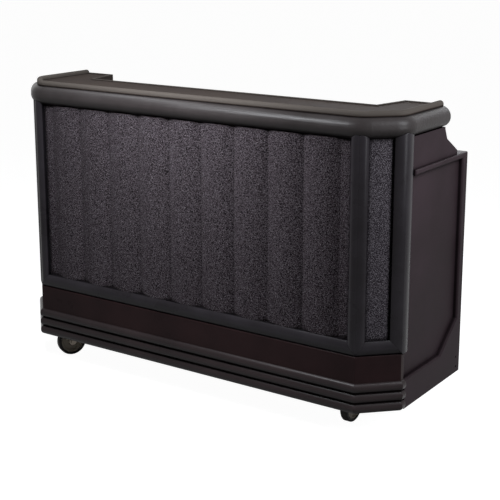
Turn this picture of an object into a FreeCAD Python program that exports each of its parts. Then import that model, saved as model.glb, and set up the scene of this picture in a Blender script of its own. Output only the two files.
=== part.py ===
import FreeCAD, Part
import math
import os

from FreeCAD import Vector

# A portable bar on four swivel casters, in millimetres.
# X runs along the bar, Y from the guest side (minus) to the bartender side (plus), Z is up.
# The origin is on the floor, under the middle of the bar.
# "Depth" below means how far something lies inward of the outermost line of the mouldings.

# Whole bar
overall_length = 1850.0
overall_depth = 650.0
overall_height = 1228.0
corner_leg = 133.0
counter_rise = 221.0
base_clearance = 105.0
caster_height = 155.0
overrun = 30.0
seat_gap = 0.3
fit_clearance = 0.1

# Moulded walls and the base moulding with its three ribs and plain band
face_depth = 36.0
wall_thickness = 42.0
side_recess = 24.0
rib_height = 39.0
rib_count = 3
rib_groove_depth = 13.0
rib_return = 26.0
band_height = 104.0
band_round = 5.0
floor_thickness = 45.0

# Half-round mouldings round the decorative panels
rail_height = 54.0
crest_setback = 9.0
post_shoulder = 10.0
crease_depth = 15.0
side_crease_depth = 11.5
front_post_width = 42.0
front_post_return = 44.0
side_post_width = 50.0
side_post_return = 66.0

# Decorative panels
flute_count = 9
panel_strip_width = 48.0
flute_rise = 14.0
flute_web = 3.0
corner_panel_thickness = 8.0
panel_clearance = 0.5

# Side mouldings
frame_setback = 7.0
rear_rim_width = 45.0
top_rim_height = 22.0
rim_round = 8.0
gusset_run = 145.0
gusset_rise = 115.0
upper_wall_depth = 20.0
upper_wall_thickness = 40.0
upper_foot_setback = 75.0
upper_slope_setback = 170.0
upper_top_setback = 190.0
upper_outline_height_shares = (0.13, 0.6, 0.94)
upper_round = 12.0
rivet_hole_radius = 4.5
rivet_hole_depth = 12.0
rivet_hole_setback = 38.0
rivet_hole_low = 25.0
rivet_hole_spacing = 40.0

# Counter
bullnose_radius = 40.0
bullnose_corner = 110.0
rim_height = 20.0
rim_radius = 13.0
rim_depth = 28.0
rim_end_round = 9.0
front_counter_depth = 295.0
wing_reach = 460.0
wing_root_width = 225.0
wing_tip_width = 191.0
surface_drop = 17.0
counter_thickness = 32.0
lip_width = 10.0
lip_drop = 13.0
bracket_count = 4
bracket_width = 30.0
bracket_thickness = 4.0
bracket_reach = 150.0
bracket_leg = 60.0
bracket_edge_space = 330.0

# Work deck and inner walls
deck_thickness = 40.0
deck_nose_round = 10.0
partition_thickness = 20.0
partition_setback = 24.0
shelf_height = 480.0
shelf_thickness = 18.0
shelf_setback = 60.0
shelf_lip = 14.0
ledge_height = 20.0
ledge_width = 14.0
housing_depth = 5.0

# Ice bin, its runners and its two lids
bin_length = 540.0
bin_depth = 290.0
bin_side_space = 30.0
bin_front_space = 93.0
bin_rear_space = 31.0
bin_wall = 2.0
bin_corner = 24.0
bin_floor_round = 18.0
flange_width = 24.0
hole_margin = 3.0
runner_width = 16.0
runner_height = 22.0
slot_height = 7.0
slot_depth = 9.0
slot_web = 2.0
lid_thickness = 6.0
lid_slot_clearance = 0.5
lid_overlap = 20.0
handle_length = 120.0
handle_width = 14.0
handle_height = 12.0
handle_round = 4.0
handle_setback = 30.0

# Ice bin drain
drain_hole_radius = 14.0
drain_flange_radius = 26.0
drain_flange_thickness = 2.0
drain_nut_height = 3.0
tail_radius = 11.0
tail_bore_radius = 9.0
tail_length = 70.0
socket_length = 12.0
socket_radius = 14.0
valve_back_length = 18.0
valve_radius = 17.0
valve_length = 60.0
valve_round = 4.0
valve_stem_reach = 36.0
spigot_radius = 9.5
spigot_bore_radius = 6.5
spigot_length = 42.0
spigot_chamfer = 1.5
stem_radius = 5.0
stem_length = 12.0
stem_boss_radius = 9.0
stem_boss_length = 8.0
lever_length = 62.0
lever_width = 14.0
lever_thickness = 3.0
lever_round = 4.5
lever_hub_radius = 10.0

# Bottle well and garnish tray, each in front of the trough below it
trough_gap = 8.0
well_length = 250.0
well_width = 260.0
well_depth = 170.0
tray_side_space = 64.5
tray_width = 130.0
tray_depth = 90.0
tray_wall = 4.0
tray_pockets = 4
tray_corner = 12.0

# Speed rails for bottles
trough_width = 105.0
trough_front = 105.0
trough_back = 150.0
trough_wall = 1.5
trough_round = 14.0
trough_drop = 50.0
trough_setback = 12.0
screw_radius = 2.5
screw_head_radius = 5.0
screw_head_height = 3.0
screw_length = 16.0
screw_margin = 25.0

# Casters
caster_inset_x = 235.0
caster_inset_y = 133.0
caster_trail = 35.0
parked_turn = -27.0
wheel_radius = 63.5
tyre_thickness = 11.5
tyre_width = 32.0
tyre_shoulder = 6.0
core_width = 28.0
core_disc_width = 22.0
core_ring_radius = 44.0
core_hub_radius = 16.0
core_edge = 3.0
hub_width = 35.0
plate_length = 104.0
plate_width = 84.0
plate_thickness = 4.0
plate_corner = 8.0
race_radius = 30.0
race_height = 6.0
race_inner_radius = 22.0
king_pin_radius = 7.0
king_pin_head = 12.0
king_pin_head_height = 6.0
crown_radius = 33.0
crown_thickness = 4.0
leg_thickness = 3.0
leg_foot_radius = 17.0
leg_top_half = 27.0
axle_radius = 6.0
axle_head_flats = 19.0
axle_head_height = 6.0
bolt_radius = 4.0
bolt_head_flats = 13.0
bolt_head_height = 5.0
bolt_inset = 12.0
bolt_length = 28.0

# Wheel brakes on the two bartender-side casters
pedal_pivot_reach = 46.0
pedal_pivot_drop = 20.0
pedal_pin_radius = 3.0
pedal_hub_radius = 7.0
pedal_width = 30.0
pedal_thickness = 4.0
pedal_reach = 132.0
pedal_end_drop = 34.0
pedal_foot_width = 52.0
pedal_foot_length = 34.0
shoe_reach = 74.0
shoe_width = 12.0
shoe_gap = 6.0
shoe_round = 3.0

# Levels and lines that follow from the sizes above
half_length = overall_length / 2
half_depth = overall_depth / 2
half_turn = math.tan(math.radians(45) / 2)
work_height = overall_height - counter_rise
front_straight = half_length - corner_leg
base_top = base_clearance + rib_count * rib_height
band_top = base_top + band_height
rail_top = band_top + rail_height
bullnose_top = overall_height - rim_height
wall_top = bullnose_top - 2 * bullnose_radius
counter_surface = overall_height - surface_drop
counter_underside = counter_surface - counter_thickness
deck_underside = work_height - deck_thickness
floor_top = caster_height + floor_thickness
inner_depth = face_depth + wall_thickness
side_inner_depth = side_recess + wall_thickness
inner_front = inner_depth - half_depth
side_inner = half_length - side_inner_depth
wing_end = wing_reach - half_depth
skirt_front = corner_leg + rib_return - half_depth
partition_x = bin_length / 2 + bin_side_space
bay_inner = partition_x + partition_thickness / 2
bay_middle = (bay_inner + side_inner) / 2
trough_rear = half_depth - trough_setback
pan_rear = trough_rear - trough_width - trough_gap
well_x = -bay_middle
well_y = pan_rear - well_width / 2
tray_x = bay_middle
tray_y = pan_rear - tray_width / 2
tray_length = side_inner - bay_inner - 2 * tray_side_space
bin_front = inner_front + bin_front_space + flange_width
bin_rear = half_depth - bin_rear_space - flange_width
bin_width = bin_rear - bin_front
bin_y = (bin_front + bin_rear) / 2


def plan(height):
    """Places outline points drawn in plan at a height."""
    return lambda x, y: Vector(x, y, height)


def facing_side(x):
    """Places outline points drawn as seen from the end of the bar."""
    return lambda y, z: Vector(x, y, z)


def facing_front(y):
    """Places outline points drawn as seen from the guest side."""
    return lambda x, z: Vector(x, y, z)


def outline(place, start, *steps):
    """Closed face: a step of one point is a straight line, of two points an arc through the first."""
    edges = []
    here = place(*start)
    for step in steps:
        there = place(*step[-1])
        if len(step) == 1:
            edges.append(Part.LineSegment(here, there).toShape())
        else:
            edges.append(Part.Arc(here, place(*step[0]), there).toShape())
        here = there
    first = place(*start)
    if here.distanceToPoint(first) > fit_clearance:
        edges.append(Part.LineSegment(here, first).toShape())
    return Part.Face(Part.Wire(edges))


def polygon(place, *points):
    """Closed face with straight sides."""
    return outline(place, points[0], *[(point,) for point in points[1:]])


def rise(face, height):
    """Carries a plan outline straight up."""
    return face.extrude(Vector(0, 0, height))


def across(face, width):
    """Carries an outline along X."""
    return face.extrude(Vector(width, 0, 0))


def inward(face, distance):
    """Carries an outline towards the bartender side."""
    return face.extrude(Vector(0, distance, 0))


def one_solid(shape):
    """The single solid of a boolean result, with split faces joined again."""
    return shape.removeSplitter().Solids[0]


def block(x_low, x_high, y_low, y_high, z_low, z_high):
    """A plain rectangular block between six planes."""
    return Part.makeBox(x_high - x_low, y_high - y_low, z_high - z_low, Vector(x_low, y_low, z_low))


def mirrored(shape):
    """The same piece for the other end of the bar."""
    return shape.mirror(Vector(0, 0, 0), Vector(1, 0, 0))


def upright_edges(shape):
    """Edges that run straight up and down."""
    found = []
    for edge in shape.Edges:
        low, high = edge.Vertexes[0].Point, edge.Vertexes[-1].Point
        if abs(low.x - high.x) < fit_clearance and abs(low.y - high.y) < fit_clearance:
            found.append(edge)
    return found


def edges_in_plane(shape, x=None, y=None, z=None):
    """Edges that lie wholly in one plane square to an axis."""
    found = []
    for edge in shape.Edges:
        box = edge.BoundBox
        for value, low, high in ((x, box.XMin, box.XMax), (y, box.YMin, box.YMax), (z, box.ZMin, box.ZMax)):
            if value is not None and abs(low - value) < fit_clearance and abs(high - value) < fit_clearance:
                found.append(edge)
    return found


def front_corner(side, depth):
    """Plan point where the front face turns into the slanted corner face, at a depth."""
    return (side * (front_straight - half_turn * depth), depth - half_depth)


def side_corner(side, depth):
    """Plan point where the slanted corner face turns into the end of the bar, at a depth."""
    return (side * (half_length - depth), corner_leg - half_depth + half_turn * depth)


def corner_face_point(x, depth):
    """Plan point on the right slanted face, at a depth, for a given x."""
    return (x, x - front_straight - half_depth + math.sqrt(2) * depth)


def on_corner(shape):
    """Turns a piece drawn along the front line, starting at x zero, on to the right slanted corner."""
    turned = shape.copy()
    turned.rotate(Vector(0, 0, 0), Vector(0, 0, 1), 45)
    turned.translate(Vector(front_straight, -half_depth, 0))
    return turned


wall_joint_outer = corner_face_point(half_length - side_recess, face_depth)
wall_joint_inner = corner_face_point(side_inner, inner_depth)
corner_run = corner_leg * math.sqrt(2)


def front_zone():
    """Everything in front of the joint between the front moulding and the right end moulding."""
    (outer_x, outer_y), (inner_x, inner_y) = wall_joint_outer, wall_joint_inner
    slope_x, slope_y = outer_x - inner_x, outer_y - inner_y
    far_out = (outer_x + slope_x, outer_y + slope_y)
    far_in = (inner_x - slope_x, inner_y - slope_y)
    face = polygon(plan(0), far_out, far_in, (far_in[0], -half_depth), (far_out[0], -half_depth))
    return rise(face, overall_height)


def make_front_wall():
    """The foam-filled front moulding: one straight wall with a slanted return at each end."""
    outer, inner = wall_joint_outer, wall_joint_inner
    points = [
        (-outer[0], outer[1]), front_corner(-1, face_depth), front_corner(1, face_depth), outer,
        inner, front_corner(1, inner_depth), front_corner(-1, inner_depth), (-inner[0], inner[1]),
    ]
    return rise(polygon(plan(caster_height), *points), wall_top - caster_height)


def make_base_bumper(front_wall, end_wall):
    """Three equal half-round ribs under a plain band, swept round the front and mitred on to the ends."""
    corner_x, corner_y = side_corner(-1, 0)
    begin = Vector(corner_x, skirt_front, 0)
    turns = [Vector(corner_x, corner_y, 0), Vector(*front_corner(-1, 0), 0)]

    def place(depth, height):
        return begin + Vector(depth, 0, height)

    steps = [((rib_groove_depth, base_clearance),)]
    for rib in range(rib_count):
        low = base_clearance + rib * rib_height
        steps.append(((0, low + rib_height / 2), (rib_groove_depth, low + rib_height)))
    share = 1 - math.sqrt(2) / 2
    crown = (rib_groove_depth + share * band_round, band_top - share * band_round)
    steps.append(((rib_groove_depth, band_top - band_round),))
    steps.append((crown, (rib_groove_depth + band_round, band_top)))
    steps.append(((face_depth, band_top),))
    section = outline(place, (face_depth, base_clearance), *steps).OuterWire
    left = [begin] + turns
    right = [Vector(-point.x, point.y, 0) for point in reversed(left)]
    moulding = Part.makePolygon(left + right).makePipeShell([section], True, False, 1)
    return one_solid(moulding.cut(front_wall).cut(end_wall).cut(mirrored(end_wall)))


def moulding_section(width):
    """Half-round moulding seen end on, as steps from one foot to the other across its width."""
    return [
        ((0, post_shoulder + crest_setback),),
        ((width / 2, crest_setback), (width, post_shoulder + crest_setback)),
        ((width, face_depth),),
    ]


def rail_blank(length):
    """A lower rail along the front line from x zero, before its ends are mitred."""
    def place(up, depth):
        return Vector(-overrun, depth, band_top + up)

    return across(outline(place, (0, face_depth), *moulding_section(rail_height)), length + 2 * overrun)


def rail_region(left_width, right_width, length):
    """The space under the picture-frame mitres of one panel opening, drawn along the front line."""
    face = polygon(
        facing_front(-overrun),
        (-overrun, band_top - overrun), (-overrun, band_top), (0, band_top), (left_width, rail_top),
        (length - right_width, rail_top), (length, band_top), (length + overrun, band_top),
        (length + overrun, band_top - overrun))
    return inward(face, overrun + face_depth + fit_clearance)


def past_front_corner():
    """Everything past the mitre plane where the front face meets the right slanted face."""
    near, far = front_corner(1, half_depth), front_corner(1, -overrun)
    face = polygon(plan(0), near, far, (overall_length, far[1]), (overall_length, near[1]))
    return rise(face, overall_height)


def past_side_corner():
    """Everything past the mitre plane where the right slanted face meets the end of the bar."""
    near, far = side_corner(1, side_inner_depth), side_corner(1, -corner_leg)
    return rise(polygon(plan(0), near, far, (far[0], half_depth), (near[0], half_depth)), overall_height)


def make_front_rail():
    """Lower rail of the front panel, mitred to the posts."""
    length = 2 * front_straight
    rail = rail_blank(length).common(rail_region(front_post_width, front_post_width, length))
    rail.translate(Vector(-front_straight, -half_depth, 0))
    beyond = past_front_corner()
    return one_solid(rail.cut(beyond).cut(mirrored(beyond)))


def make_corner_rail():
    """Lower rail of the right corner panel, mitred to both posts."""
    opening = rail_region(front_post_return, side_post_width, corner_run)
    rail = on_corner(rail_blank(corner_run).common(opening))
    return one_solid(rail.common(past_front_corner()).cut(past_side_corner()))


def make_bullnose(gap):
    """The big half-round edge of the counter, carried round front, corners and ends, rounded in plan."""
    radius = bullnose_radius + gap
    centre = bullnose_top - bullnose_radius
    back = inner_depth + gap

    def place(depth, height):
        return Vector(depth - half_length, wing_end, height)

    section = outline(
        place, (bullnose_radius, centre - radius),
        ((bullnose_radius - radius, centre), (bullnose_radius, centre + radius)),
        ((back, centre + radius),), ((back, centre - radius),))
    path = Part.Wire(counter_edge(0, 0, wing_end))
    return path.makePipeShell([section.OuterWire], True, False)


def counter_edge(depth, height, rear):
    """Outer line of the counter at a depth, as edges from the left rear round to the right rear."""
    slant = math.sqrt(2) / 2
    steps = []
    for side, corner, first, last in (
            (-1, side_corner, (-1, 0), (-slant, -slant)), (-1, front_corner, (-slant, -slant), (0, -1)),
            (1, front_corner, (0, -1), (slant, -slant)), (1, side_corner, (slant, -slant), (1, 0))):
        middle_x, middle_y = corner(side, bullnose_corner)
        radius = bullnose_corner - depth
        bend = Vector(first[0] + last[0], first[1] + last[1], 0).normalize()
        begin = (middle_x + radius * first[0], middle_y + radius * first[1])
        via = (middle_x + radius * bend.x, middle_y + radius * bend.y)
        end = (middle_x + radius * last[0], middle_y + radius * last[1])
        steps += [(begin,), (via, end)]
    steps.append(((half_length - depth, rear),))
    place = plan(height)
    edges = []
    here = place(depth - half_length, rear)
    for step in steps:
        there = place(*step[-1])
        if len(step) == 1:
            edges.append(Part.LineSegment(here, there).toShape())
        else:
            edges.append(Part.Arc(here, place(*step[0]), there).toShape())
        here = there
    return edges


def counter_face(depth, inset, height):
    """Plan face of the counter between its outer line at a depth and its inner line drawn in by an inset."""
    rear = wing_end - inset
    slope = (wing_root_width - wing_tip_width) / (wing_reach - front_counter_depth)
    inner_rear_x = half_length - wing_tip_width + inset - slope * inset
    inner_front_y = front_counter_depth - half_depth - inset
    inner_front_x = half_length - wing_root_width + inset - slope * inset
    edges = counter_edge(depth, height, rear)
    corners = [
        (half_length - depth, rear), (inner_rear_x, rear), (inner_front_x, inner_front_y),
        (-inner_front_x, inner_front_y), (-inner_rear_x, rear), (depth - half_length, rear),
    ]
    place = plan(height)
    for here, there in zip(corners, corners[1:]):
        edges.append(Part.LineSegment(place(*here), place(*there)).toShape())
    return Part.Face(Part.Wire(edges))


def make_counter_top():
    """Tray-like counter: a sunk surface, a half-round rim outside and a thin lip on the inner edge."""
    crest = rim_depth + rim_radius
    sink_depth = crest + rim_radius
    rim_centre = overall_height - rim_radius
    lip_height = overall_height - lip_drop - counter_surface
    skin = rise(counter_face(crest, 0, bullnose_top), counter_surface - bullnose_top)
    web = rise(counter_face(inner_depth + seat_gap, 0, counter_underside), bullnose_top - counter_underside)
    lip = rise(counter_face(sink_depth, 0, counter_surface), lip_height)
    lip = lip.cut(rise(counter_face(sink_depth, lip_width, counter_surface), lip_height))

    def place(depth, height):
        return Vector(depth - half_length, wing_end, height)

    section = outline(
        place, (rim_depth, bullnose_top), ((rim_depth, rim_centre),),
        ((crest, overall_height), (sink_depth, rim_centre)), ((sink_depth, bullnose_top),))
    path = Part.Wire(counter_edge(0, 0, wing_end))
    rim = path.makePipeShell([section.OuterWire], True, False)
    ends = [edge for edge in edges_in_plane(rim, y=wing_end) if edge.BoundBox.ZMin > bullnose_top]
    rim = rim.makeFillet(rim_end_round, ends)
    return one_solid(skin.fuse(rim).fuse(lip).fuse(web))


def end_moulding_edge():
    """Outline of the raised rim and skirt of an end moulding, seen from the end."""
    post_rear = corner_leg + side_post_return - half_depth
    rim_front = half_depth - rear_rim_width
    return polygon(
        facing_side(half_length - side_recess),
        (post_rear, work_height), (half_depth, work_height), (half_depth, base_clearance),
        (skirt_front, base_clearance), (skirt_front, base_top), (rim_front - gusset_run, base_top),
        (rim_front, base_top + gusset_rise), (rim_front, work_height - top_rim_height),
        (post_rear, work_height - top_rim_height))


def make_end_wall():
    """Right end moulding: foam-filled wall, raised rim with skirt and gusset, set-in upper wall."""
    outer_x = half_length - side_recess
    lower = block(side_inner, outer_x, -half_depth, half_depth, caster_height, work_height)
    frame = across(end_moulding_edge(), side_recess - frame_setback)
    crest_edges = [edge for edge in edges_in_plane(frame, x=half_length - frame_setback)
                   if edge.BoundBox.ZMax > base_clearance + fit_clearance
                   and edge.BoundBox.YMax > skirt_front + fit_clearance]
    frame = frame.makeFillet(rim_round, crest_edges)
    upper_outer = half_length - upper_wall_depth
    foot_y, slope_y, top_y = [half_depth - setback for setback in (
        upper_foot_setback, upper_slope_setback, upper_top_setback)]
    foot_z, slope_z, top_z = [
        work_height + share * (wall_top - work_height) for share in upper_outline_height_shares]
    upper_face = polygon(
        facing_side(upper_outer - upper_wall_thickness),
        (-half_depth, work_height), (foot_y, work_height), (foot_y, foot_z), (slope_y, slope_z),
        (top_y, top_z), (top_y, wall_top), (-half_depth, wall_top))
    upper = across(upper_face, upper_wall_thickness)
    bends = [edge for edge in upper.Edges if edge.BoundBox.XLength > fit_clearance
             and edge.BoundBox.YMin > -half_depth + fit_clearance
             and work_height + fit_clearance < edge.BoundBox.ZMin < wall_top - fit_clearance]
    upper = upper.makeFillet(upper_round, bends)
    ledge = shelf_ledge(side_inner - ledge_width, side_inner)
    wall = lower.fuse(upper).cut(front_zone()).fuse(frame).fuse(ledge)
    for step in range(2):
        hole_z = base_clearance + rivet_hole_low + step * rivet_hole_spacing
        centre = Vector(half_length - frame_setback - rivet_hole_depth, half_depth - rivet_hole_setback, hole_z)
        wall = wall.cut(Part.makeCylinder(rivet_hole_radius, overrun, centre, Vector(1, 0, 0)))
    return one_solid(drilled(wall))


def post_section(first_width, second_width, valley_depth):
    """Two half-round lobes that meet in a crease on a 45 degree corner, in plan, round x zero."""
    slant = math.sqrt(2) / 2

    def first_leg(back, depth):
        return (-back, depth)

    def second_leg(along, depth):
        return (slant * (along - depth), slant * (along + depth))

    crease = first_leg(half_turn * valley_depth, valley_depth)
    shoulder = post_shoulder + crest_setback
    return [
        first_leg(half_turn * face_depth, face_depth),
        (first_leg(first_width, face_depth),),
        (first_leg(first_width, shoulder),),
        (first_leg(first_width / 2, crest_setback), crease),
        (second_leg(second_width / 2, crest_setback), second_leg(second_width, shoulder)),
        (second_leg(second_width, face_depth),),
    ]


def make_post(first_width, second_width, valley_depth):
    """A corner post along the front line, with its corner at x zero, before mitring."""
    def place(x, depth):
        return Vector(x, depth, band_top)

    steps = post_section(first_width, second_width, valley_depth)
    face = outline(place, steps[0], *steps[1:])
    return rise(face, bullnose_top - band_top)


def coped(post):
    """Cuts the head of a post to the round underside of the bullnose, inside its outer line."""
    head_room = block(
        -overall_length, overall_length, -overall_depth, overall_depth, wall_top, overall_height)
    cover = rise(counter_face(0, 0, wall_top), bullnose_radius)
    return post.cut(head_room.cut(cover)).cut(make_bullnose(seat_gap))


def make_front_post():
    """Right front post: one lobe on the front, one on the slanted corner, coped under the bullnose."""
    post = make_post(front_post_width, front_post_return, crease_depth)
    post.translate(Vector(front_straight, -half_depth, 0))
    length = 2 * front_straight
    front_cut = rail_region(front_post_width, front_post_width, length)
    front_cut.translate(Vector(-front_straight, -half_depth, 0))
    corner_cut = on_corner(rail_region(front_post_return, side_post_width, corner_run))
    return one_solid(coped(post.cut(front_cut).cut(corner_cut)))


def make_side_post(end_wall):
    """Right side post: one lobe on the slanted corner, one on the end of the bar."""
    post = make_post(side_post_width, side_post_return, side_crease_depth)
    post.rotate(Vector(0, 0, 0), Vector(0, 0, 1), 45)
    post.translate(Vector(half_length, corner_leg - half_depth, 0))
    corner_cut = on_corner(rail_region(front_post_return, side_post_width, corner_run))
    return one_solid(coped(post.cut(corner_cut).cut(make_front_wall()).cut(end_wall)))


def make_front_panel():
    """Decorative front panel: nine tall convex flutes that meet in sharp grooves."""
    half_width = front_straight - front_post_width - panel_clearance
    fluted_half = front_straight - front_post_width - panel_strip_width
    flute_pitch = 2 * fluted_half / flute_count
    back = face_depth - half_depth
    groove = back - flute_web
    steps = [((-half_width, groove),), ((-fluted_half, groove),)]
    for flute in range(flute_count):
        left = flute * flute_pitch - fluted_half
        crest = (left + flute_pitch / 2, groove - flute_rise)
        steps.append((crest, (left + flute_pitch, groove)))
    steps += [((half_width, groove),), ((half_width, back),)]
    face = outline(plan(rail_top), (-half_width, back), *steps)
    return rise(face, wall_top - rail_top)


def make_corner_panel():
    """Flat decorative panel of the right slanted corner."""
    low_x = front_post_return + panel_clearance
    high_x = corner_run - side_post_width - panel_clearance
    back = face_depth
    return on_corner(block(low_x, high_x, back - corner_panel_thickness, back, rail_top, wall_top))


def inside_walls(height):
    """Plan face of everything inside the front moulding and the two end mouldings."""
    return polygon(
        plan(height), front_corner(-1, inner_depth), front_corner(1, inner_depth), wall_joint_inner,
        (side_inner, half_depth), (-side_inner, half_depth), (-wall_joint_inner[0], wall_joint_inner[1]))


def make_floor_deck(centres):
    """Foam-filled floor moulding with housings for the partitions and bolt holes for the casters."""
    deck = rise(inside_walls(caster_height), floor_thickness)
    housing = block(bay_inner - partition_thickness - fit_clearance, bay_inner + fit_clearance,
                    inner_front, half_depth, floor_top - housing_depth, floor_top)
    deck = deck.cut(housing).cut(mirrored(housing))
    for centre_x, centre_y in centres:
        for hole in bolt_shanks(fit_clearance):
            hole.translate(Vector(centre_x, centre_y, 0))
            deck = deck.cut(hole)
    return one_solid(deck)


def rounded_block(length, width, depth, centre_x, centre_y, top, corner, floor_round):
    """A block with rounded upright corners and, if asked, a rounded bottom edge."""
    shape = block(centre_x - length / 2, centre_x + length / 2,
                  centre_y - width / 2, centre_y + width / 2, top - depth, top)
    shape = shape.makeFillet(corner, upright_edges(shape))
    if floor_round:
        shape = shape.makeFillet(floor_round, edges_in_plane(shape, z=top - depth))
    return shape


def drop_in_pan(length, width, depth, centre_x, centre_y):
    """A pressed sheet pan whose flat flange lies flush in a rebate of the work deck."""
    rim = length + 2 * flange_width, width + 2 * flange_width
    outer = rounded_block(length, width, depth, centre_x, centre_y, work_height, bin_corner, bin_floor_round)
    flange = rounded_block(rim[0], rim[1], bin_wall, centre_x, centre_y, work_height, bin_corner, 0)
    hollow = rounded_block(length - 2 * bin_wall, width - 2 * bin_wall, depth - bin_wall + overrun,
                           centre_x, centre_y, work_height + overrun,
                           bin_corner - bin_wall, bin_floor_round - bin_wall)
    return outer.fuse(flange).cut(hollow)


def pan_seat(length, width, centre_x, centre_y, corner, sheet):
    """The cut-out for a drop-in pan or tray, with a shallow rebate as deep as the flange is thick."""
    top = work_height + overrun
    hole = rounded_block(length + 2 * hole_margin, width + 2 * hole_margin, deck_thickness + 2 * overrun,
                         centre_x, centre_y, top, corner + hole_margin, 0)
    rim = 2 * (flange_width + seat_gap)
    rebate = rounded_block(length + rim, width + rim, sheet + overrun, centre_x, centre_y, top,
                           corner + seat_gap, 0)
    return hole.fuse(rebate)


def make_deck_panel(x_low, x_high, seat):
    """One panel of the bartender's work deck between two seams, with a pan seat and a round nose."""
    span = block(x_low, x_high, -half_depth, half_depth, deck_underside, work_height)
    panel = rise(inside_walls(deck_underside), deck_thickness).common(span)
    nose = [edge for edge in edges_in_plane(panel, y=half_depth) if edge.Length > deck_thickness]
    return one_solid(panel.makeFillet(deck_nose_round, nose).cut(seat))


def make_ice_bin():
    """Pressed steel ice bin with a shallow drain well in its floor."""
    pan = drop_in_pan(bin_length, bin_width, bin_depth, 0, bin_y)
    floor_z = work_height - bin_depth
    hole = Part.makeCylinder(drain_hole_radius, 2 * overrun, Vector(0, bin_y, floor_z - overrun))
    return one_solid(pan.cut(hole))


def make_bin_drain():
    """Flanged drain fitting with its tail pipe, clamped in the floor of the ice bin."""
    floor_z = work_height - bin_depth
    base = Vector(0, bin_y, floor_z + bin_wall)
    flange = Part.makeCylinder(drain_flange_radius, drain_flange_thickness, base)
    throat = Part.makeCylinder(drain_hole_radius - fit_clearance, bin_wall, Vector(0, bin_y, floor_z))
    nut_top = Vector(0, bin_y, floor_z - drain_nut_height)
    nut = Part.makeCylinder(drain_flange_radius, drain_nut_height, nut_top)
    tail = Part.makeCylinder(tail_radius, tail_length, Vector(0, bin_y, floor_z - tail_length))
    bore_base = Vector(0, bin_y, floor_z - tail_length)
    bore = Part.makeCylinder(tail_bore_radius, tail_length + overrun, bore_base)
    return one_solid(flange.fuse(throat).fuse(nut).fuse(tail).cut(bore))


valve_top = work_height - bin_depth - tail_length
valve_axis = valve_top - socket_length - valve_radius
valve_end = bin_y + valve_length
stem_y = bin_y + valve_stem_reach
boss_top = valve_axis + valve_radius + stem_boss_length


def make_drain_valve():
    """Elbow ball valve under the drain, with a plain spigot for a waste hose towards the bartender."""
    facing = Vector(0, 1, 0)
    socket = Part.makeCylinder(socket_radius, valve_top - valve_axis, Vector(0, bin_y, valve_axis))
    back = Vector(0, bin_y - valve_back_length, valve_axis)
    barrel = Part.makeCylinder(valve_radius, valve_back_length + valve_length, back, facing)
    rims = edges_in_plane(barrel, y=back.y) + edges_in_plane(barrel, y=valve_end)
    barrel = barrel.makeFillet(valve_round, rims)
    boss_base = Vector(0, stem_y, valve_axis)
    boss = Part.makeCylinder(stem_boss_radius, boss_top - valve_axis, boss_base)
    stem = Part.makeCylinder(stem_radius, boss_top + stem_length - valve_axis, boss_base)
    outlet = Vector(0, valve_end, valve_axis)
    spigot = Part.makeCylinder(spigot_radius, spigot_length, outlet, facing)
    spigot = spigot.makeChamfer(spigot_chamfer, edges_in_plane(spigot, y=valve_end + spigot_length))
    bore = Part.makeCylinder(spigot_bore_radius, spigot_length, outlet, facing)
    return one_solid(socket.fuse(barrel).fuse(boss).fuse(stem).fuse(spigot).cut(bore))


def make_drain_lever():
    """Quarter-turn lever on the valve stem, lying across the valve when shut."""
    low = boss_top + seat_gap
    centre = Vector(0, stem_y, low)
    hub = Part.makeCylinder(lever_hub_radius, stem_length - seat_gap, centre)
    arm = block(0, lever_length, stem_y - lever_width / 2, stem_y + lever_width / 2,
                low, low + lever_thickness)
    tip_edges = [edge for edge in edges_in_plane(arm, x=lever_length)
                 if edge.BoundBox.YLength < fit_clearance]
    arm = arm.makeFillet(lever_round, tip_edges)
    hole = Part.makeCylinder(stem_radius + fit_clearance, overrun, centre)
    return one_solid(hub.fuse(arm).cut(hole))


runner_y = bin_width / 2


def make_runner():
    """Double-groove runner beside the bin: lower groove for the fixed lid, upper for the sliding one."""
    def place(y, z):
        return Vector(-bin_length / 2, bin_y + y, work_height + z)

    inner = runner_y
    low_slot = slot_web
    high_slot = low_slot + slot_height + slot_web
    groove = inner + slot_depth
    face = polygon(
        place, (inner, 0), (inner + runner_width, 0), (inner + runner_width, runner_height),
        (inner, runner_height), (inner, high_slot + slot_height), (groove, high_slot + slot_height),
        (groove, high_slot), (inner, high_slot), (inner, low_slot + slot_height),
        (groove, low_slot + slot_height), (groove, low_slot), (inner, low_slot))
    return across(face, bin_length)


def make_runners():
    """Both runners, one along the guest side and one along the bartender side of the bin."""
    rear = make_runner()
    front = rear.mirror(Vector(0, bin_y, 0), Vector(0, 1, 0))
    return Part.makeCompound([front, rear])


lid_half = runner_y + slot_depth - lid_slot_clearance
lid_length = bin_length / 2 + lid_overlap / 2


def lid_sheet(x_low, level):
    """One half lid, a flat sheet whose long edges run in the runner grooves."""
    low = work_height + level + lid_slot_clearance
    return block(x_low, x_low + lid_length, bin_y - lid_half, bin_y + lid_half, low, low + lid_thickness)


def make_fixed_lid():
    """The half lid that stays over the left half of the bin."""
    return lid_sheet(-bin_length / 2, slot_web)


def make_sliding_lid():
    """The half lid that slides over the fixed one, with a raised grip bar."""
    level = slot_web + slot_height + slot_web
    sheet = lid_sheet(bin_length / 2 - lid_length, level)
    top = work_height + level + lid_slot_clearance + lid_thickness
    grip_x = bin_length / 2 - handle_setback
    grip = block(grip_x - handle_width, grip_x, bin_y - handle_length / 2, bin_y + handle_length / 2,
                 top, top + handle_height)
    grip = grip.makeFillet(handle_round, edges_in_plane(grip, z=top + handle_height))
    return one_solid(sheet.fuse(grip))


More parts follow.
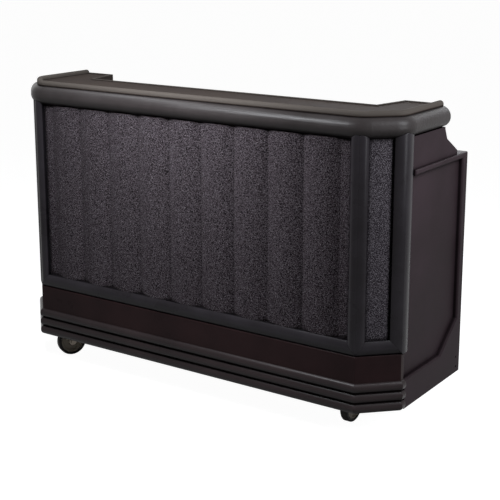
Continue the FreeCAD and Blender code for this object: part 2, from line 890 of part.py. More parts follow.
def make_garnish_tray():
    """Moulded garnish holder: a flanged tray with four open pockets."""
    outer = rounded_block(tray_length, tray_width, tray_depth, tray_x, tray_y, work_height, tray_corner, 0)
    flange = rounded_block(tray_length + 2 * flange_width, tray_width + 2 * flange_width, tray_wall,
                           tray_x, tray_y, work_height, tray_corner, 0)
    tray = outer.fuse(flange)
    pocket = (tray_length - (tray_pockets + 1) * tray_wall) / tray_pockets
    first_x = tray_x - tray_length / 2 + tray_wall + pocket / 2
    for index in range(tray_pockets):
        centre_x = first_x + index * (pocket + tray_wall)
        hollow = rounded_block(pocket, tray_width - 2 * tray_wall, tray_depth - tray_wall + overrun,
                               centre_x, tray_y, work_height + overrun, tray_corner - tray_wall, 0)
        tray = tray.cut(hollow)
    return one_solid(tray)


def shelf_ledge(x_low, x_high):
    """Moulded bearer under one end of the right shelf."""
    rear = half_depth - shelf_setback
    return block(x_low, x_high, wall_joint_inner[1], rear, shelf_height - ledge_height, shelf_height)


def make_partition():
    """Right inner wall between two storage bays, housed in the floor, with a ledge for the shelf."""
    wall = block(bay_inner - partition_thickness, bay_inner, inner_front, half_depth - partition_setback,
                 floor_top - housing_depth, deck_underside)
    return one_solid(drilled(wall.fuse(shelf_ledge(bay_inner, bay_inner + ledge_width))))


def make_shelf():
    """Right bay shelf: a moulded board with a raised back lip, notched round the slanted corner."""
    rear = half_depth - shelf_setback
    top = shelf_height + shelf_thickness
    points = [
        (bay_inner, inner_front), front_corner(1, inner_depth), wall_joint_inner,
        (side_inner, rear), (bay_inner, rear),
    ]
    board = rise(polygon(plan(shelf_height), *points), shelf_thickness)
    lip = block(bay_inner, side_inner, rear - shelf_thickness, rear, top, top + shelf_lip)
    return one_solid(board.fuse(lip))


def make_counter_brackets():
    """Pressed angle brackets that carry the counter behind the front wall."""
    first_x = bracket_edge_space - front_straight
    spacing = -2 * first_x / (bracket_count - 1)
    brackets = []
    for index in range(bracket_count):
        x_low = first_x + index * spacing - bracket_width / 2
        face = polygon(
            facing_side(x_low), (inner_front, counter_underside),
            (inner_front + bracket_reach, counter_underside),
            (inner_front + bracket_reach, counter_underside - bracket_thickness),
            (inner_front + bracket_thickness, counter_underside - bracket_thickness),
            (inner_front + bracket_thickness, counter_underside - bracket_leg),
            (inner_front, counter_underside - bracket_leg))
        brackets.append(across(face, bracket_width))
    return Part.makeCompound(brackets)


trough_top = deck_underside - trough_drop


def make_speed_rail():
    """Right bottle trough: bent sheet with a high back, low front and closed ends."""
    def place(y, z):
        return Vector(bay_inner, trough_rear - trough_width + y, trough_top - trough_back + z)

    def trough(gap, top_extra):
        width = trough_width - gap
        face = polygon(
            place, (gap, gap), (width, gap), (width, trough_front + top_extra),
            (gap, trough_back + top_extra))
        run = side_inner - bay_inner - 2 * gap
        solid = across(face, run)
        solid.translate(Vector(gap, 0, 0))
        corners = [edge for edge in edges_in_plane(solid, z=trough_top - trough_back + gap)
                   if edge.Length > trough_width]
        return solid.makeFillet(trough_round - gap, corners)

    sheet = trough(0, 0).cut(trough(trough_wall, overrun))
    return one_solid(drilled(sheet))


def drilled(shape):
    """A right-hand piece with the holes for the trough screws."""
    for hole in rail_screw_shanks(fit_clearance):
        shape = shape.cut(hole)
    return shape


def rail_screw_shanks(gap):
    """Screw shanks through the ends of the right trough, or the holes for them when a gap is given."""
    z = trough_top - screw_margin - trough_front / 2
    shanks = []
    for y in (trough_rear - screw_margin, trough_rear - trough_width + screw_margin):
        for wall_x, towards in ((bay_inner, -1), (side_inner, 1)):
            start = Vector(wall_x - towards * trough_wall, y, z)
            shanks.append(Part.makeCylinder(
                screw_radius + gap, screw_length + gap, start, Vector(towards, 0, 0)))
    return shanks


def make_speed_rail_screws():
    """Screws through both ends of the two troughs, into the partitions and the end mouldings."""
    screws = []
    for shank in rail_screw_shanks(0):
        middle = shank.CenterOfMass
        towards = 1 if middle.x > bay_middle else -1
        start = Vector(middle.x - towards * screw_length / 2, middle.y, middle.z)
        head = Part.makeCylinder(screw_head_radius, screw_head_height, start, Vector(-towards, 0, 0))
        screw = shank.fuse(head)
        screws += [screw, mirrored(screw)]
    return Part.makeCompound(screws)


def hexagon(flats, height, base, direction):
    """A hexagonal head of a given width across flats."""
    radius = flats / math.sqrt(3)
    corners = [math.radians(turn) for turn in range(0, 420, 60)]
    points = [Vector(radius * math.cos(turn), radius * math.sin(turn), 0) for turn in corners]
    head = Part.Face(Part.makePolygon(points)).extrude(Vector(0, 0, height))
    head.Placement = FreeCAD.Placement(base, FreeCAD.Rotation(Vector(0, 0, 1), direction))
    return head


def ring(outer, inner, height, base):
    """A flat washer-like ring."""
    return Part.makeCylinder(outer, height, base).cut(Part.makeCylinder(inner, height, base))


bolt_x = plate_length / 2 - bolt_inset
bolt_y = plate_width / 2 - bolt_inset


def make_caster_plate():
    """Mounting plate with the upper ball race and the riveted king pin, swivel axis at x = y = 0."""
    low = caster_height - plate_thickness
    plate = rounded_block(plate_length, plate_width, plate_thickness, 0, 0, caster_height, plate_corner, 0)
    race = ring(race_radius, race_inner_radius, race_height, Vector(0, 0, low - race_height))
    crown_low = low - race_height - seat_gap - crown_thickness
    pin_low = crown_low - seat_gap - king_pin_head_height
    pin = Part.makeCylinder(king_pin_radius, low - pin_low, Vector(0, 0, pin_low))
    head = Part.makeCylinder(king_pin_head, king_pin_head_height, Vector(0, 0, pin_low))
    head = head.makeChamfer(handle_round, edges_in_plane(head, z=pin_low))
    for hole in bolt_shanks(fit_clearance):
        plate = plate.cut(hole)
    return one_solid(plate.fuse(race).fuse(pin).fuse(head))


leg_x = hub_width / 2 + seat_gap


def make_fork(trail, with_brake):
    """Pressed fork: round crown and two legs that taper down to the axle, trailing behind the swivel."""
    crown_top = caster_height - plate_thickness - race_height - seat_gap
    crown_low = crown_top - crown_thickness
    direction = math.copysign(1, trail)
    reach = abs(trail)
    pivot_z = caster_height - pedal_pivot_drop
    back_top = pedal_pivot_reach + pedal_hub_radius if with_brake else leg_top_half + leg_foot_radius
    shoulder_z = crown_low - leg_foot_radius
    foot = leg_foot_radius

    def place(y, z):
        return Vector(leg_x, direction * y, z)

    face = outline(
        place, (-leg_top_half, crown_top), ((-leg_top_half, shoulder_z),), ((reach - foot, wheel_radius),),
        ((reach, wheel_radius - foot), (reach + foot, wheel_radius)), ((back_top, shoulder_z),),
        ((back_top, crown_top),))
    leg = across(face, leg_thickness)
    fork = leg.fuse(mirrored(leg))
    crown = Part.makeCylinder(crown_radius, crown_thickness, Vector(0, 0, crown_low))
    fork = fork.fuse(crown)
    pin_hole_base = Vector(0, 0, crown_low - fit_clearance)
    fork = fork.cut(Part.makeCylinder(king_pin_radius + fit_clearance, overrun, pin_hole_base))
    axle_hole = Part.makeCylinder(axle_radius + fit_clearance, 2 * overrun,
                                  Vector(-overrun, trail, wheel_radius), Vector(1, 0, 0))
    fork = fork.cut(axle_hole)
    if with_brake:
        pin_start = Vector(-leg_x - leg_thickness, direction * pedal_pivot_reach, pivot_z)
        pin = Part.makeCylinder(pedal_pin_radius, 2 * (leg_x + leg_thickness), pin_start, Vector(1, 0, 0))
        fork = fork.fuse(pin)
    return one_solid(fork)


def revolved_wheel(trail, *points):
    """A piece of the wheel turned about the axle from (across, radius) points."""
    def place(x, radius):
        return Vector(x, trail, wheel_radius + radius)

    return polygon(place, *points).revolve(Vector(0, trail, wheel_radius), Vector(1, 0, 0), 360)


core_radius = wheel_radius - tyre_thickness


def make_wheel_core(trail):
    """Moulded wheel centre: hub, flat disc with a raised ring, and a rim for the tyre."""
    bore = axle_radius + fit_clearance
    half_hub, half_disc, half_rim = hub_width / 2, core_disc_width / 2, core_width / 2
    return one_solid(revolved_wheel(
        trail, (-half_hub, bore), (half_hub, bore), (half_hub, core_hub_radius),
        (half_disc, core_hub_radius + core_edge), (half_disc, core_ring_radius - core_edge),
        (half_rim, core_ring_radius), (half_rim, core_radius - fit_clearance),
        (-half_rim, core_radius - fit_clearance), (-half_rim, core_ring_radius),
        (-half_disc, core_ring_radius - core_edge), (-half_disc, core_hub_radius + core_edge),
        (-half_hub, core_hub_radius)))


def make_tyre(trail):
    """Solid tread with rounded shoulders, moulded round the wheel centre."""
    half = tyre_width / 2
    flat = half - tyre_shoulder
    slant = math.sqrt(2) / 2
    low = wheel_radius - tyre_shoulder
    corner = flat + slant * tyre_shoulder, low + slant * tyre_shoulder

    def place(x, radius):
        return Vector(x, trail, wheel_radius + radius)

    face = outline(
        place, (-half, core_radius), ((half, core_radius),), ((half, low),), (corner, (flat, wheel_radius)),
        ((-flat, wheel_radius),), ((-corner[0], corner[1]), (-half, low)))
    return one_solid(face.revolve(Vector(0, trail, wheel_radius), Vector(1, 0, 0), 360))


def make_axle(trail):
    """Axle bolt with its head on one side of the fork and its nut on the other."""
    outside = leg_x + leg_thickness
    start = Vector(-outside, trail, wheel_radius)
    shaft = Part.makeCylinder(axle_radius, 2 * outside, start, Vector(1, 0, 0))
    head = hexagon(axle_head_flats, axle_head_height, Vector(outside, trail, wheel_radius), Vector(1, 0, 0))
    nut = hexagon(axle_head_flats, axle_head_height, start, Vector(-1, 0, 0))
    return one_solid(shaft.fuse(head).fuse(nut))


def make_brake_pedal(trail):
    """Foot pedal hinged between the fork legs, with a shoe above the tyre."""
    direction = math.copysign(1, trail)
    pivot_z = caster_height - pedal_pivot_drop
    hub_base = Vector(-pedal_width / 2, direction * pedal_pivot_reach, pivot_z)
    hub = Part.makeCylinder(pedal_hub_radius, pedal_width, hub_base, Vector(1, 0, 0))

    def place(y, z):
        return Vector(-pedal_width / 2, direction * y, z)

    end_z = caster_height - pedal_end_drop
    top = pivot_z + pedal_hub_radius
    arm_face = polygon(
        place, (pedal_pivot_reach, top), (shoe_reach, top), (pedal_reach, end_z),
        (pedal_reach, end_z - pedal_thickness), (shoe_reach, top - pedal_thickness),
        (pedal_pivot_reach, top - pedal_thickness))
    arm = across(arm_face, pedal_width)
    tyre_top = wheel_radius + math.sqrt(wheel_radius ** 2 - (shoe_reach - abs(trail)) ** 2)
    shoe_near, shoe_far = shoe_reach - shoe_width / 2, shoe_reach + shoe_width / 2
    shoe_low = tyre_top + shoe_gap
    shoe = across(polygon(
        place, (shoe_near, top - shoe_round), (shoe_far, top - shoe_round), (shoe_far, shoe_low - shoe_round),
        (shoe_reach, shoe_low), (shoe_near, shoe_low + shoe_round)), pedal_width)
    foot_face = polygon(
        place, (pedal_reach - pedal_foot_length, end_z + pedal_thickness), (pedal_reach, end_z),
        (pedal_reach, end_z - pedal_thickness), (pedal_reach - pedal_foot_length, end_z))
    foot = across(foot_face, pedal_foot_width)
    foot.translate(Vector((pedal_width - pedal_foot_width) / 2, 0, 0))
    pedal = hub.fuse(arm).fuse(shoe).fuse(foot)
    hole = Part.makeCylinder(pedal_pin_radius + fit_clearance, 2 * overrun,
                             hub_base - Vector(overrun / 2, 0, 0), Vector(1, 0, 0))
    return one_solid(pedal.cut(hole))


def bolt_shanks(gap):
    """The four bolt shanks of a caster at x = y = 0, or the holes for them when a gap is given."""
    base = caster_height - plate_thickness
    places = [Vector(side_x * bolt_x, side_y * bolt_y, base)
              for side_x in (-1, 1) for side_y in (-1, 1)]
    return [Part.makeCylinder(bolt_radius + gap, bolt_length + gap, place) for place in places]


def make_caster_bolts(centres):
    """Hexagon bolts through the four corners of each caster plate."""
    bolts = []
    low = caster_height - plate_thickness - bolt_head_height
    for centre_x, centre_y in centres:
        for shank in bolt_shanks(0):
            shank.translate(Vector(centre_x, centre_y, 0))
            middle = shank.CenterOfMass
            head_base = Vector(middle.x, middle.y, low)
            head = hexagon(bolt_head_flats, bolt_head_height, head_base, Vector(0, 0, 1))
            bolts.append(shank.fuse(head))
    return Part.makeCompound(bolts)


parts = {}
front_wall = make_front_wall()
right_end = make_end_wall()
parts["front_wall"] = front_wall
parts["end_wall_right"] = right_end
parts["end_wall_left"] = mirrored(right_end)
parts["base_bumper"] = make_base_bumper(front_wall, right_end)
parts["front_panel"] = make_front_panel()
parts["lower_rail_front"] = make_front_rail()
parts["bullnose_edge"] = make_bullnose(0)
parts["counter_top"] = make_counter_top()
parts["counter_brackets"] = make_counter_brackets()

for name, piece in (
        ("corner_panel", make_corner_panel()), ("front_post", make_front_post()),
        ("side_post", make_side_post(right_end)), ("lower_rail", make_corner_rail()),
        ("partition", make_partition()), ("shelf", make_shelf()), ("speed_rail", make_speed_rail())):
    parts[name + "_right"] = piece
    parts[name + "_left"] = mirrored(piece)

parts["speed_rail_screws"] = make_speed_rail_screws()
seat = pan_seat(bin_length, bin_width, 0, bin_y, bin_corner, bin_wall)
parts["work_deck_middle"] = make_deck_panel(-partition_x, partition_x, seat)
seat = pan_seat(well_length, well_width, well_x, well_y, bin_corner, bin_wall)
parts["work_deck_left"] = make_deck_panel(-side_inner, -partition_x, seat)
seat = pan_seat(tray_length, tray_width, tray_x, tray_y, tray_corner, tray_wall)
parts["work_deck_right"] = make_deck_panel(partition_x, side_inner, seat)
parts["ice_bin"] = make_ice_bin()
parts["lid_runners"] = make_runners()
parts["ice_lid_fixed"] = make_fixed_lid()
parts["ice_lid_sliding"] = make_sliding_lid()
parts["bin_drain"] = make_bin_drain()
parts["drain_valve"] = make_drain_valve()
parts["drain_lever"] = make_drain_lever()
parts["bottle_well"] = one_solid(drop_in_pan(well_length, well_width, well_depth, well_x, well_y))
parts["garnish_tray"] = make_garnish_tray()

caster_x = half_length - caster_inset_x
caster_y = half_depth - caster_inset_y
caster_centres = {}
for name, side_x, side_y, lean, turn in (
        ("front_left", -1, -1, -1, parked_turn), ("front_right", 1, -1, 1, 0),
        ("rear_left", -1, 1, 1, 0), ("rear_right", 1, 1, 1, 0)):
    trail = lean * caster_trail
    braked = side_y > 0
    centre = Vector(side_x * caster_x, side_y * caster_y, 0)
    caster_centres[name] = (centre.x, centre.y)
    pieces = {
        "fork": make_fork(trail, braked), "wheel": make_wheel_core(trail), "tyre": make_tyre(trail),
        "axle": make_axle(trail),
    }
    if braked:
        pieces["brake"] = make_brake_pedal(trail)
    for piece in pieces.values():
        piece.rotate(Vector(0, 0, 0), Vector(0, 0, 1), turn)
    pieces["plate"] = make_caster_plate()
    for kind, piece in pieces.items():
        piece.translate(centre)
        parts[name + "_" + kind] = piece
parts["caster_bolts"] = make_caster_bolts(caster_centres.values())
parts["floor_deck"] = make_floor_deck(caster_centres.values())

os.makedirs("parts", exist_ok=True)
for name, piece in parts.items():
    piece.exportStep("parts/" + name + ".step")
    box = piece.BoundBox
    print(name, len(piece.Solids), piece.isValid(), round(piece.Volume / 1000),
          [round(value) for value in (box.XMin, box.YMin, box.ZMin, box.XMax, box.YMax, box.ZMax)])
print(len(parts), "pieces")
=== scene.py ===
import math
import bpy
import numpy as np
from mathutils import Euler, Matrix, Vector

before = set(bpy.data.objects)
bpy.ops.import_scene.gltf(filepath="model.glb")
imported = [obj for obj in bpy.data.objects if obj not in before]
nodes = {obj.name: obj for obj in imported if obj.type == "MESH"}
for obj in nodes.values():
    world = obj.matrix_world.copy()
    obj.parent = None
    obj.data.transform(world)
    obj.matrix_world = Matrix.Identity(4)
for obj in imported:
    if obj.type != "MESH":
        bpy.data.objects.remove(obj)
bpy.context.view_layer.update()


# Front moulding
# The front of the body: one wall of rotationally moulded polyethylene, filled with foam, with a
# slanted return at each end. The panels, the corner mouldings and the base are fixed before it.

def linear(code):
    """Turns an sRGB hex colour into linear red, green, blue and alpha."""
    parts = np.array([int(code[i:i + 2], 16) / 255 for i in (1, 3, 5)])
    low, high = parts / 12.92, ((parts + 0.055) / 1.055) ** 2.4
    return (*np.where(parts <= 0.04045, low, high).tolist(), 1.0)


def add(tree, kind, sockets=(), **settings):
    """Adds one shader node, sets its properties, and gives each input a value or a link."""
    node = tree.nodes.new("ShaderNode" + kind)
    for name, value in settings.items():
        setattr(node, name, value)
    for name, value in dict(sockets).items():
        if isinstance(value, bpy.types.NodeSocket):
            tree.links.new(value, node.inputs[name])
        else:
            node.inputs[name].default_value = value
    return node


def new_finish(name, **surface):
    """Starts a material from a bare shader tree: the tree, its surface shader, and coordinates."""
    material = bpy.data.materials.new(name)
    material.use_nodes = True
    tree = material.node_tree
    tree.nodes.clear()
    shader = add(tree, "BsdfPrincipled", surface)
    add(tree, "OutputMaterial", {"Surface": shader.outputs[0]})
    place = add(tree, "TexCoord").outputs["Object"]
    return material, tree, shader, place


def moulded(name, dark, light, rough, grain_mm, depth_mm, specular=0.1, stretch=1.0, crease_mm=50.0):
    """Moulded plastic or rubber: a waxy skin with fine orange peel, in two close tones that drift
    over a third of a metre, with softened edges, and painted shade, dull and darker, in creases and
    underneath."""
    crease_shade_level, underside_shade_level = 0.15, 0.35
    edge_round, rough_spread = 0.003, 0.06
    material, tree, shader, place = new_finish(name, IOR=1.5)
    drift = add(tree, "TexNoise", {"Vector": place, "Scale": 3.0, "Detail": 4.0, "Roughness": 0.6})
    tone = add(tree, "ValToRGB", {"Fac": drift.outputs["Fac"]})
    first, last = tone.color_ramp.elements
    first.position, first.color = 0.35, linear(dark)
    last.position, last.color = 0.65, linear(light)
    # Painted shade in creases: the colour and the gloss are darkened where the surface is closed in
    open_share = add(tree, "AmbientOcclusion", {"Distance": crease_mm / 1000})
    crease_painted_shade = add(tree, "MapRange", {"Value": open_share.outputs["AO"], "From Min": 0.35,
                                   "From Max": 0.95, "To Min": crease_shade_level})
    # Painted shade underneath: faces that turn downward are darkened and dulled
    facing = add(tree, "SeparateXYZ", {"Vector": add(tree, "NewGeometry").outputs["Normal"]})
    underside_painted_shade = add(tree, "MapRange", {"Value": facing.outputs["Z"], "From Min": -0.7, "From Max": 0.0,
                                   "To Min": underside_shade_level})
    share = add(tree, "Math", {0: crease_painted_shade.outputs["Result"], 1: underside_painted_shade.outputs["Result"]},
                operation="MULTIPLY")
    # The colour and the gloss carry the painted shade of the creases and the undersides
    shaded_colour = add(tree, "VectorMath", {0: tone.outputs["Color"], "Scale": share.outputs[0]},
                operation="SCALE")
    shaded_specular = add(tree, "Math", {0: share.outputs[0], 1: specular}, operation="MULTIPLY")
    gloss = add(tree, "MapRange", {"Value": drift.outputs["Fac"], "From Min": 0.3, "From Max": 0.7,
                                   "To Min": rough - rough_spread, "To Max": rough + rough_spread})
    drawn = add(tree, "Mapping", {"Vector": place, "Scale": (1 / stretch, 1.0, 1.0)})
    skin = add(tree, "TexNoise", {"Vector": drawn.outputs["Vector"], "Scale": 1000 / grain_mm,
                                  "Detail": 2.0})
    edge = add(tree, "Bevel", {"Radius": edge_round})
    bump = add(tree, "Bump", {"Height": skin.outputs["Fac"], "Distance": depth_mm / 1000,
                              "Strength": 1.0, "Normal": edge.outputs["Normal"]})
    tree.links.new(shaded_colour.outputs[0], shader.inputs["Base Color"])
    tree.links.new(shaded_specular.outputs[0], shader.inputs["Specular IOR Level"])
    tree.links.new(gloss.outputs["Result"], shader.inputs["Roughness"])
    tree.links.new(bump.outputs["Normal"], shader.inputs["Normal"])
    return material


def dress(material, *names):
    """Gives CAD nodes their finish."""
    for name in names:
        for slot in nodes[name].material_slots:
            slot.material = material


# Satin black with a warm cast: the joints between the mouldings read as dark, soft lines, from their
# gaps and from painted shade in the creases
dress(moulded("black_polyethylene_front", "#1c1513", "#261d1b", rough=0.55, grain_mm=4.0,
              depth_mm=0.06, specular=0.05), "front_wall")


# End mouldings
# The two ends of the bar, moulded like the front: a recessed side, a raised rim at the rear, a
# skirt with a gusset, and a set-in upper wall under the counter.

# Nearly matt plum black, which keeps the side calm beside the glossier corner mouldings
dress(moulded("black_polyethylene_ends", "#261e21", "#31282c", rough=0.45, grain_mm=4.0,
              depth_mm=0.06, specular=0.02), "end_wall_left", "end_wall_right")


# Base bumper
# One moulding round the foot, mitred round the slanted corners: three half-round ribs that take
# the knocks, and above them the plain band.

def height_share(tree, low, high):
    """Zero below one height in metres and one above the other, with a ramp between them."""
    place = add(tree, "SeparateXYZ", {"Vector": add(tree, "TexCoord").outputs["Object"]})
    share = add(tree, "MapRange", {"Value": place.outputs["Z"], "From Min": low, "From Max": high})
    return share.outputs["Result"]


# Satin where the ribs are rubbed, so that each has a light line along its top; the band carries
# painted shade that makes it darker, redder and duller, and the lowest edge painted shade that dulls
# it
base = moulded("black_polyethylene_base", "#1f191a", "#2a2223", rough=0.3, grain_mm=5.0,
               depth_mm=0.05, specular=0.1)
tree = base.node_tree
shader = tree.nodes["Principled BSDF"]
# Painted shade on the band above 222 mm: the same plastic made darker, redder and duller
on_band = height_share(tree, low=0.221, high=0.223)
# Painted shade along the lowest edge: the gloss fades out below 116 mm and is gone below 107 mm
above_foot_shade = height_share(tree, low=0.107, high=0.116)
shaded_tone = shader.inputs["Base Color"].links[0].from_socket
band_painted_shade = add(tree, "VectorMath", {0: shaded_tone, 1: (1.0, 0.75, 0.75)}, operation="MULTIPLY")
# Sockets 6 and 7 of a mix node are its two colours, and output 2 is the mixed colour
tone = add(tree, "Mix", {0: on_band, 6: shaded_tone, 7: band_painted_shade.outputs[0]}, data_type="RGBA")
tree.links.new(tone.outputs[2], shader.inputs["Base Color"])
duller = add(tree, "MapRange", {"Value": on_band, "To Min": 1.0, "To Max": 0.3})
kept = add(tree, "Math", {0: duller.outputs["Result"], 1: above_foot_shade}, operation="MULTIPLY")
shaded_specular = shader.inputs["Specular IOR Level"].links[0].from_socket
dull = add(tree, "Math", {0: shaded_specular, 1: kept.outputs[0]}, operation="MULTIPLY")
tree.links.new(dull.outputs[0], shader.inputs["Specular IOR Level"])
dress(base, "base_bumper")


# Decorative panels
# Embossed sheet, housed behind the mouldings: nine convex flutes at the front and flat sheets on
# the slanted corners, all with a coarse pebbled grain.

def pebbled(name, dark, body, light):
    """Pebbled sheet: rounded grains about 3 mm across, whose tone follows the relief, with painted
    shade in the valleys between them, painted highlights on the crowns, and painted shade along the
    creases."""
    crease_shade_level, body_place = 0.25, 0.62
    material, tree, shader, place = new_finish(name, **{"IOR": 1.5, "Roughness": 0.3,
                                                      "Specular IOR Level": 0.01})
    warp = add(tree, "TexNoise", {"Vector": place, "Scale": 180.0, "Detail": 1.0})
    lean = add(tree, "VectorMath", {0: warp.outputs["Color"], "Scale": 0.006}, operation="SCALE")
    bent = add(tree, "VectorMath", {0: place, 1: lean.outputs[0]}, operation="ADD")
    grains = add(tree, "TexVoronoi", {"Vector": bent.outputs[0], "Scale": 340.0, "Smoothness": 0.3},
                 feature="SMOOTH_F1")
    fine = add(tree, "TexNoise", {"Vector": place, "Scale": 800.0, "Detail": 1.0})
    relief = add(tree, "Math", {0: grains.outputs["Distance"], 1: -1.0, 2: fine.outputs["Fac"]},
                 operation="MULTIPLY_ADD")
    # Painted shade in the valleys and painted highlights on the crowns: the tone follows the relief
    tone = add(tree, "MapRange", {"Value": relief.outputs[0], "From Min": -0.2, "From Max": 0.4})
    colour = add(tree, "ValToRGB", {"Fac": tone.outputs["Result"]})
    first, last = colour.color_ramp.elements
    first.color, last.color = linear(dark), linear(light)
    colour.color_ramp.elements.new(body_place).color = linear(body)
    # Painted shade along the creases
    open_share = add(tree, "AmbientOcclusion", {"Distance": 0.02})
    crease_painted_shade = add(tree, "MapRange", {"Value": open_share.outputs["AO"], "From Min": 0.7,
                                   "From Max": 0.97, "To Min": crease_shade_level})
    shaded_colour = add(tree, "VectorMath", {0: colour.outputs["Color"], "Scale": crease_painted_shade.outputs["Result"]},
                operation="SCALE")
    bump = add(tree, "Bump", {"Height": relief.outputs[0], "Distance": 0.0015, "Strength": 1.0})
    tree.links.new(shaded_colour.outputs[0], shader.inputs["Base Color"])
    tree.links.new(bump.outputs["Normal"], shader.inputs["Normal"])
    return material


# Black with a pepper and salt grain, which lets the flutes shade softly from side to side
dress(pebbled("pebbled_sheet_flutes", "#130e10", "#463f43", "#908990"), "front_panel")
# The same grain painted a little paler, as painted light on the slanted corner
dress(pebbled("pebbled_sheet_corners", "#1e1a1e", "#4a454a", "#8f8a90"),
      "corner_panel_left", "corner_panel_right")


# Corner posts and lower rails
# Half-round picture-frame mouldings, mitred at the foot and coped under the counter edge.

# Satin, so that each lobe and each rail carries one soft highlight along its length
dress(moulded("satin_polyethylene_trim", "#1a171a", "#272428", rough=0.3, grain_mm=6.0,
              depth_mm=0.05, specular=0.09),
      "front_post_left", "front_post_right", "side_post_left", "side_post_right",
      "lower_rail_front", "lower_rail_left", "lower_rail_right")


# Counter edge and counter top
# A bullnose moulding round the guest side, and a tray-like top that is set on it, with a rim
# round its sunk surface.

# The glossiest piece, brown black, whose highlight is broken into faint streaks along its length
dress(moulded("brown_black_counter_edge", "#1f1b1b", "#2d2929", rough=0.38, grain_mm=7.0,
              depth_mm=0.8, specular=0.14, stretch=14.0), "bullnose_edge")
# A chalky brown black from wiping; the rim and the lip, 17 mm above the surface, carry a painted
# highlight that makes them paler
top = moulded("brown_black_counter_top", "#2b2523", "#37302c", rough=0.7, grain_mm=5.0,
              depth_mm=0.06, specular=0.02)
tree = top.node_tree
shader = tree.nodes["Principled BSDF"]
# Painted highlight: above the root of the rim the colour turns paler
painted_rim_and_lip_highlight = height_share(tree, low=1.2112, high=1.2135)
plain = shader.inputs["Base Color"].links[0].from_socket
tone = add(tree, "Mix", {0: painted_rim_and_lip_highlight, 6: plain, 7: linear("#47423e")}, data_type="RGBA")
tree.links.new(tone.outputs[2], shader.inputs["Base Color"])
dress(top, "counter_top")


# Inner walls and deck
# Polyethylene mouldings on the bartender's side: the floor, the partitions housed in it, the
# shelves on their ledges, and the three deck panels.

# Matt neutral black, which makes the bays look deep
dress(moulded("matt_polyethylene_inside", "#211f1f", "#2b2929", rough=0.6, grain_mm=4.0,
              depth_mm=0.08),
      *[name for name in nodes if name.startswith(("floor", "partition", "shelf", "work_deck"))])


# Ice bin, bottle well, speed rails and hardware
# Pressed or bent stainless sheet, extruded lid runners, plated steel plates, brackets and bolts,
# and a cast drain.

def metal(name, colour, rough, stretch, pitch_mm):
    """Bare metal whose brushing or drawing lines run along X: noise squeezed across the lines."""
    rough_spread = 0.1
    material, tree, shader, place = new_finish(name, Metallic=1.0)
    shader.inputs["Base Color"].default_value = linear(colour)
    squeezed = add(tree, "Mapping", {"Vector": place, "Scale": (1 / stretch, 1.0, 1.0)})
    lines = add(tree, "TexNoise", {"Vector": squeezed.outputs["Vector"], "Scale": 1000 / pitch_mm,
                                   "Detail": 3.0})
    gloss = add(tree, "MapRange", {"Value": lines.outputs["Fac"], "To Min": rough - rough_spread,
                                   "To Max": rough + rough_spread})
    bump = add(tree, "Bump", {"Height": lines.outputs["Fac"], "Distance": 0.0001, "Strength": 1.0})
    tree.links.new(gloss.outputs["Result"], shader.inputs["Roughness"])
    tree.links.new(bump.outputs["Normal"], shader.inputs["Normal"])
    return material


def ending(*ends):
    """The CAD nodes whose names have one of these endings."""
    return [name for name in nodes if name.endswith(ends)]


# Grey sheet with a fine brushed grain along the bar, which draws its highlights out
dress(metal("brushed_stainless", "#98999b", rough=0.32, stretch=30.0, pitch_mm=2.0),
      "ice_bin", "bottle_well", "speed_rail_left", "speed_rail_right")
# Paler than the bin, so that the tracks of the sliding lid stand out from its rim
dress(metal("anodised_aluminium", "#c5c6c8", rough=0.38, stretch=60.0, pitch_mm=1.5), "lid_runners")
# Even, slightly mottled grey without a direction
dress(metal("zinc_plated_steel", "#9a9994", rough=0.38, stretch=1.0, pitch_mm=6.0),
      *ending("_plate", "_bolts", "_screws", "_brackets"))
# Brown grey, darker than the plated steel, which keeps the forks and hubs dim between the wheels
dress(metal("dull_steel_forks", "#5c564f", rough=0.5, stretch=1.0, pitch_mm=6.0),
      *ending("_fork", "_axle"))
# The only yellow metal, so that the drain is easy to find under the bin
dress(metal("cast_brass", "#b08d4c", rough=0.35, stretch=1.0, pitch_mm=3.0),
      "bin_drain", "drain_valve")


# Lids, tray and lever
# Small moulded plastics: two half lids cut from sheet, a lift-out garnish tray, and the dipped
# grip of the valve's lever.

# Neutral black, a shade paler than the deck round it
dress(moulded("black_lid_sheet", "#232324", "#2c2c2d", rough=0.45, grain_mm=3.0, depth_mm=0.05),
      "ice_lid_fixed", "ice_lid_sliding")
# Smoother and glossier than the deck, with hardly any grain
dress(moulded("black_tray_plastic", "#1d1d1e", "#262627", rough=0.3, grain_mm=8.0, depth_mm=0.02),
      "garnish_tray")
# Soft, thick red skin that marks the lever
dress(moulded("dipped_red_vinyl", "#8a1414", "#a51c1a", rough=0.35, grain_mm=8.0, depth_mm=0.03),
      "drain_lever")


# Casters
# Rubber tyres moulded round plastic wheel centres, which turn on an axle bolt in a pressed fork,
# with a coated brake pedal on the two at the rear.

# Dull, nearly black rubber with a fine tooth
dress(moulded("black_rubber_tread", "#151413", "#201e1d", rough=0.62, grain_mm=3.0, depth_mm=0.1),
      *ending("_tyre"))
# Light grey brown, which shows as a dim disc in the shade under the base
dress(moulded("grey_brown_wheel_plastic", "#b8ad9e", "#c6bbab", rough=0.45, grain_mm=3.0,
              depth_mm=0.05, crease_mm=6.0), *ending("_wheel"))
# Plain black, a little shinier than the rubber
dress(moulded("black_pedal_coating", "#1c1c1d", "#262627", rough=0.4, grain_mm=3.0, depth_mm=0.05),
      *ending("_brake"))


# Studio
# A white floor and an even white room round the bar. The key lamp hangs close before the panel and
# rakes the flutes, the left lamp draws the highlights on the bullnose and the rails, the two at the
# right light the end and its corner mouldings, and the rear one lights the bartender's side.

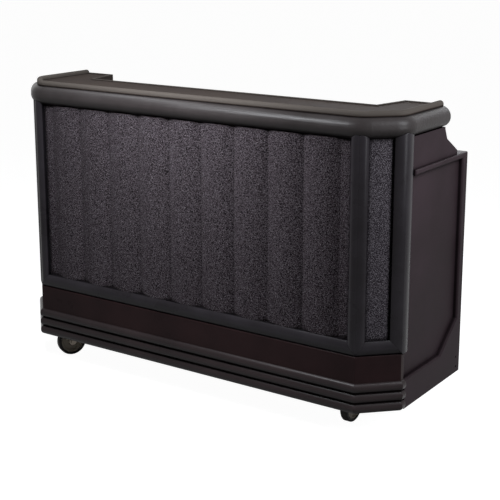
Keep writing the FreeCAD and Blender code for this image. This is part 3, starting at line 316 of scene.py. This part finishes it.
def lamp(name, place, aim, size, watts):
    """A rectangular soft lamp of slightly cool light at a place, facing a point."""
    data = bpy.data.lights.new(name, "AREA")
    data.color = (0.93, 0.96, 1.0)
    data.shape, data.size, data.size_y, data.energy = "RECTANGLE", size[0], size[1], watts
    lamp_object = bpy.data.objects.new(name, data)
    lamp_object.visible_camera = False
    lamp_object.location = place
    lamp_object.rotation_euler = (Vector(aim) - Vector(place)).to_track_quat("-Z", "Y").to_euler()
    bpy.context.scene.collection.objects.link(lamp_object)


lamp("key_lamp", place=(0.0, -0.85, 1.65), aim=(0.0, -0.95, 0.0), size=(0.8, 0.15), watts=26)
lamp("left_lamp", place=(-0.5, -0.85, 2.2), aim=(0.1, -0.3, 0.6), size=(2.2, 0.35), watts=22)
lamp("right_lamp", place=(2.0, -0.15, 2.1), aim=(0.95, -0.15, 1.05), size=(0.35, 0.6), watts=26)
lamp("right_strip", place=(2.3, -0.35, 1.2), aim=(0.9, -0.2, 1.05), size=(0.35, 0.9), watts=14)
lamp("rear_lamp", place=(0.0, 2.6, 1.7), aim=(0.0, 0.2, 0.6), size=(2.4, 0.8), watts=34)

reach = 30.0
corners = [(-reach, -reach, 0.0), (reach, -reach, 0.0), (reach, reach, 0.0), (-reach, reach, 0.0)]
floor_mesh = bpy.data.meshes.new("studio_floor")
floor_mesh.from_pydata(corners, [], [(0, 1, 2, 3)])
floor = bpy.data.objects.new("studio_floor", floor_mesh)
bpy.context.scene.collection.objects.link(floor)


def seen_level(tree, unseen, seen):
    """One strength for what the camera, a gloss or a clear piece looks at, and another for light."""
    path = add(tree, "LightPath")
    either = add(tree, "Math", {0: path.outputs["Is Camera Ray"], 1: path.outputs["Is Glossy Ray"]},
                 operation="MAXIMUM")
    any_ray = add(tree, "Math", {0: either.outputs[0], 1: path.outputs["Is Transmission Ray"]},
                  operation="MAXIMUM")
    level = add(tree, "MapRange", {"Value": any_ray.outputs[0], "To Min": unseen, "To Max": seen})
    return level.outputs["Result"]


# Looked at, the floor glows to white but keeps the bar's shadow; as a light it is a dark grey
material, tree, shader, place = new_finish("white_studio_floor", Roughness=1.0)
shader.inputs["Specular IOR Level"].default_value = 0.0
shade = seen_level(tree, unseen=0.12, seen=0.3)
grey = add(tree, "CombineColor", {"Red": shade, "Green": shade, "Blue": shade})
tree.links.new(grey.outputs["Color"], shader.inputs["Base Color"])
shader.inputs["Emission Color"].default_value = (1.0, 1.0, 1.0, 1.0)
tree.links.new(seen_level(tree, unseen=0.0, seen=0.97), shader.inputs["Emission Strength"])
floor_mesh.materials.append(material)

world = bpy.data.worlds.new("white_room")
bpy.context.scene.world = world
world.use_nodes = True
tree = world.node_tree
tree.nodes.clear()
room = add(tree, "Background", {"Color": (1.0, 1.0, 1.0, 1.0),
                                "Strength": seen_level(tree, unseen=0.03, seen=1.0)})
add(tree, "OutputWorld", {"Surface": room.outputs[0]})


# Camera
# Stands to the right of the bar's front, above counter height, and looks a little down at it. The
# vertical shift brings the bar to its height in the photograph.

look_down, turn_left = math.radians(12.932), math.radians(34.437)
camera_data = bpy.data.cameras.new("camera")
camera_data.sensor_width = 36.0
camera_data.lens = 83.53
camera_data.shift_y = -0.1
camera = bpy.data.objects.new("camera", camera_data)
camera.location = (2.7327, -3.8274, 1.8341)
camera.rotation_euler = Euler((math.pi / 2 - look_down, 0.0, turn_left))
bpy.context.scene.collection.objects.link(camera)
bpy.context.scene.camera = camera
bpy.context.scene.view_settings.view_transform = "Standard"
